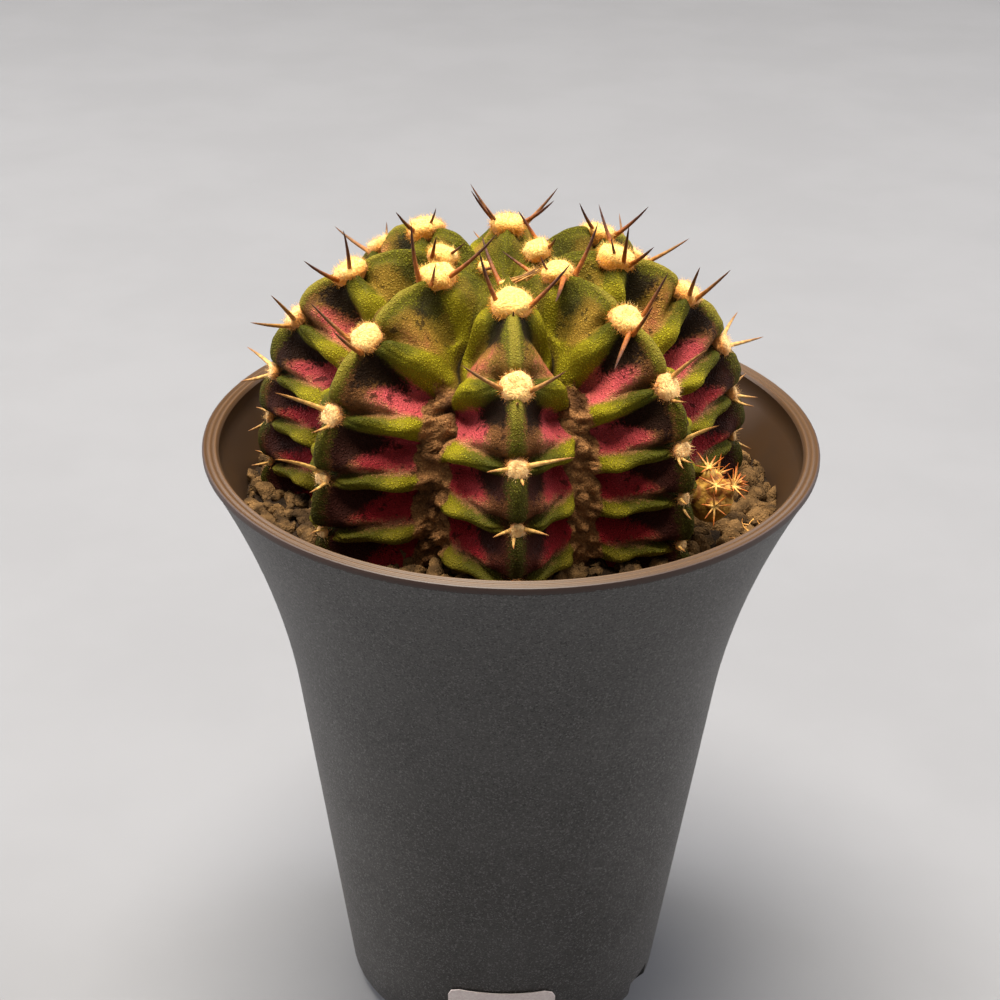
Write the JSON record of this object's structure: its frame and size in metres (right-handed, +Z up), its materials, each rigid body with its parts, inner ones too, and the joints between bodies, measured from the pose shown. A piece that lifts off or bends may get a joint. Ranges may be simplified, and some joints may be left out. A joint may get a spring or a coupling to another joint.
{
  "type": "potted moon cactus",
  "caption": "Ribbed globular moon cactus with woolly spined areoles and a dried offset, in a flared plastic pot of soil and gravel.",
  "frame": {"origin": "centre of the pot's foot ring, on the surface it stands on", "axes": "+Z up along the pot's axis, -Y towards the front of the plant, +X to the right seen from the front"},
  "size_m": [0.1, 0.1, 0.1499],
  "materials": {
    "skin": "matt velvety skin, pink and maroon flanks with yellow-green ridges",
    "wool": "fuzzy cream to yellow wool with brown and straw spines",
    "dry_skin": "dry wrinkled yellow-brown skin with fine orange spines",
    "pot_plastic": "matt fine-grained dark grey, brownish smooth rim",
    "mix": "coarse dark potting mix",
    "gravel": "angular dark brown-grey stones",
    "label": "blank off-white paper"
  },
  "bodies": {
    "root": {"areole_back_1": "wool", "areole_back_2": "wool", "areole_back_3": "wool", "areole_back_4": "wool", "areole_back_5": "wool", "areole_back_left_1": "wool", "areole_back_left_2": "wool", "areole_back_left_3": "wool", "areole_back_left_4": "wool", "areole_back_left_5": "wool", "areole_back_left_6": "wool", "areole_back_left_7": "wool", "areole_back_right_1": "wool", "areole_back_right_2": "wool", "areole_back_right_3": "wool", "areole_back_right_4": "wool", "areole_back_right_5": "wool", "areole_back_right_6": "wool", "areole_front_1": "wool", "areole_front_2": "wool", "areole_front_3": "wool", "areole_front_4": "wool", "areole_front_5": "wool", "areole_front_6": "wool", "areole_front_left_1": "wool", "areole_front_left_2": "wool", "areole_front_left_3": "wool", "areole_front_left_4": "wool", "areole_front_left_5": "wool", "areole_front_right_1": "wool", "areole_front_right_2": "wool", "areole_front_right_3": "wool", "areole_front_right_4": "wool", "areole_front_right_5": "wool", "areole_front_right_6": "wool", "areole_left_1": "wool", "areole_left_2": "wool", "areole_left_3": "wool", "areole_left_4": "wool", "areole_left_5": "wool", "areole_left_6": "wool", "areole_right_1": "wool", "areole_right_2": "wool", "areole_right_3": "wool", "areole_right_4": "wool", "areole_right_5": "wool", "areole_right_6": "wool", "blank_label": "label", "cactus_body": "skin", "dried_offset": "dry_skin", "gravel_bed": "gravel", "pot": "pot_plastic", "potting_mix": "mix"}
  },
  "joints": []
}
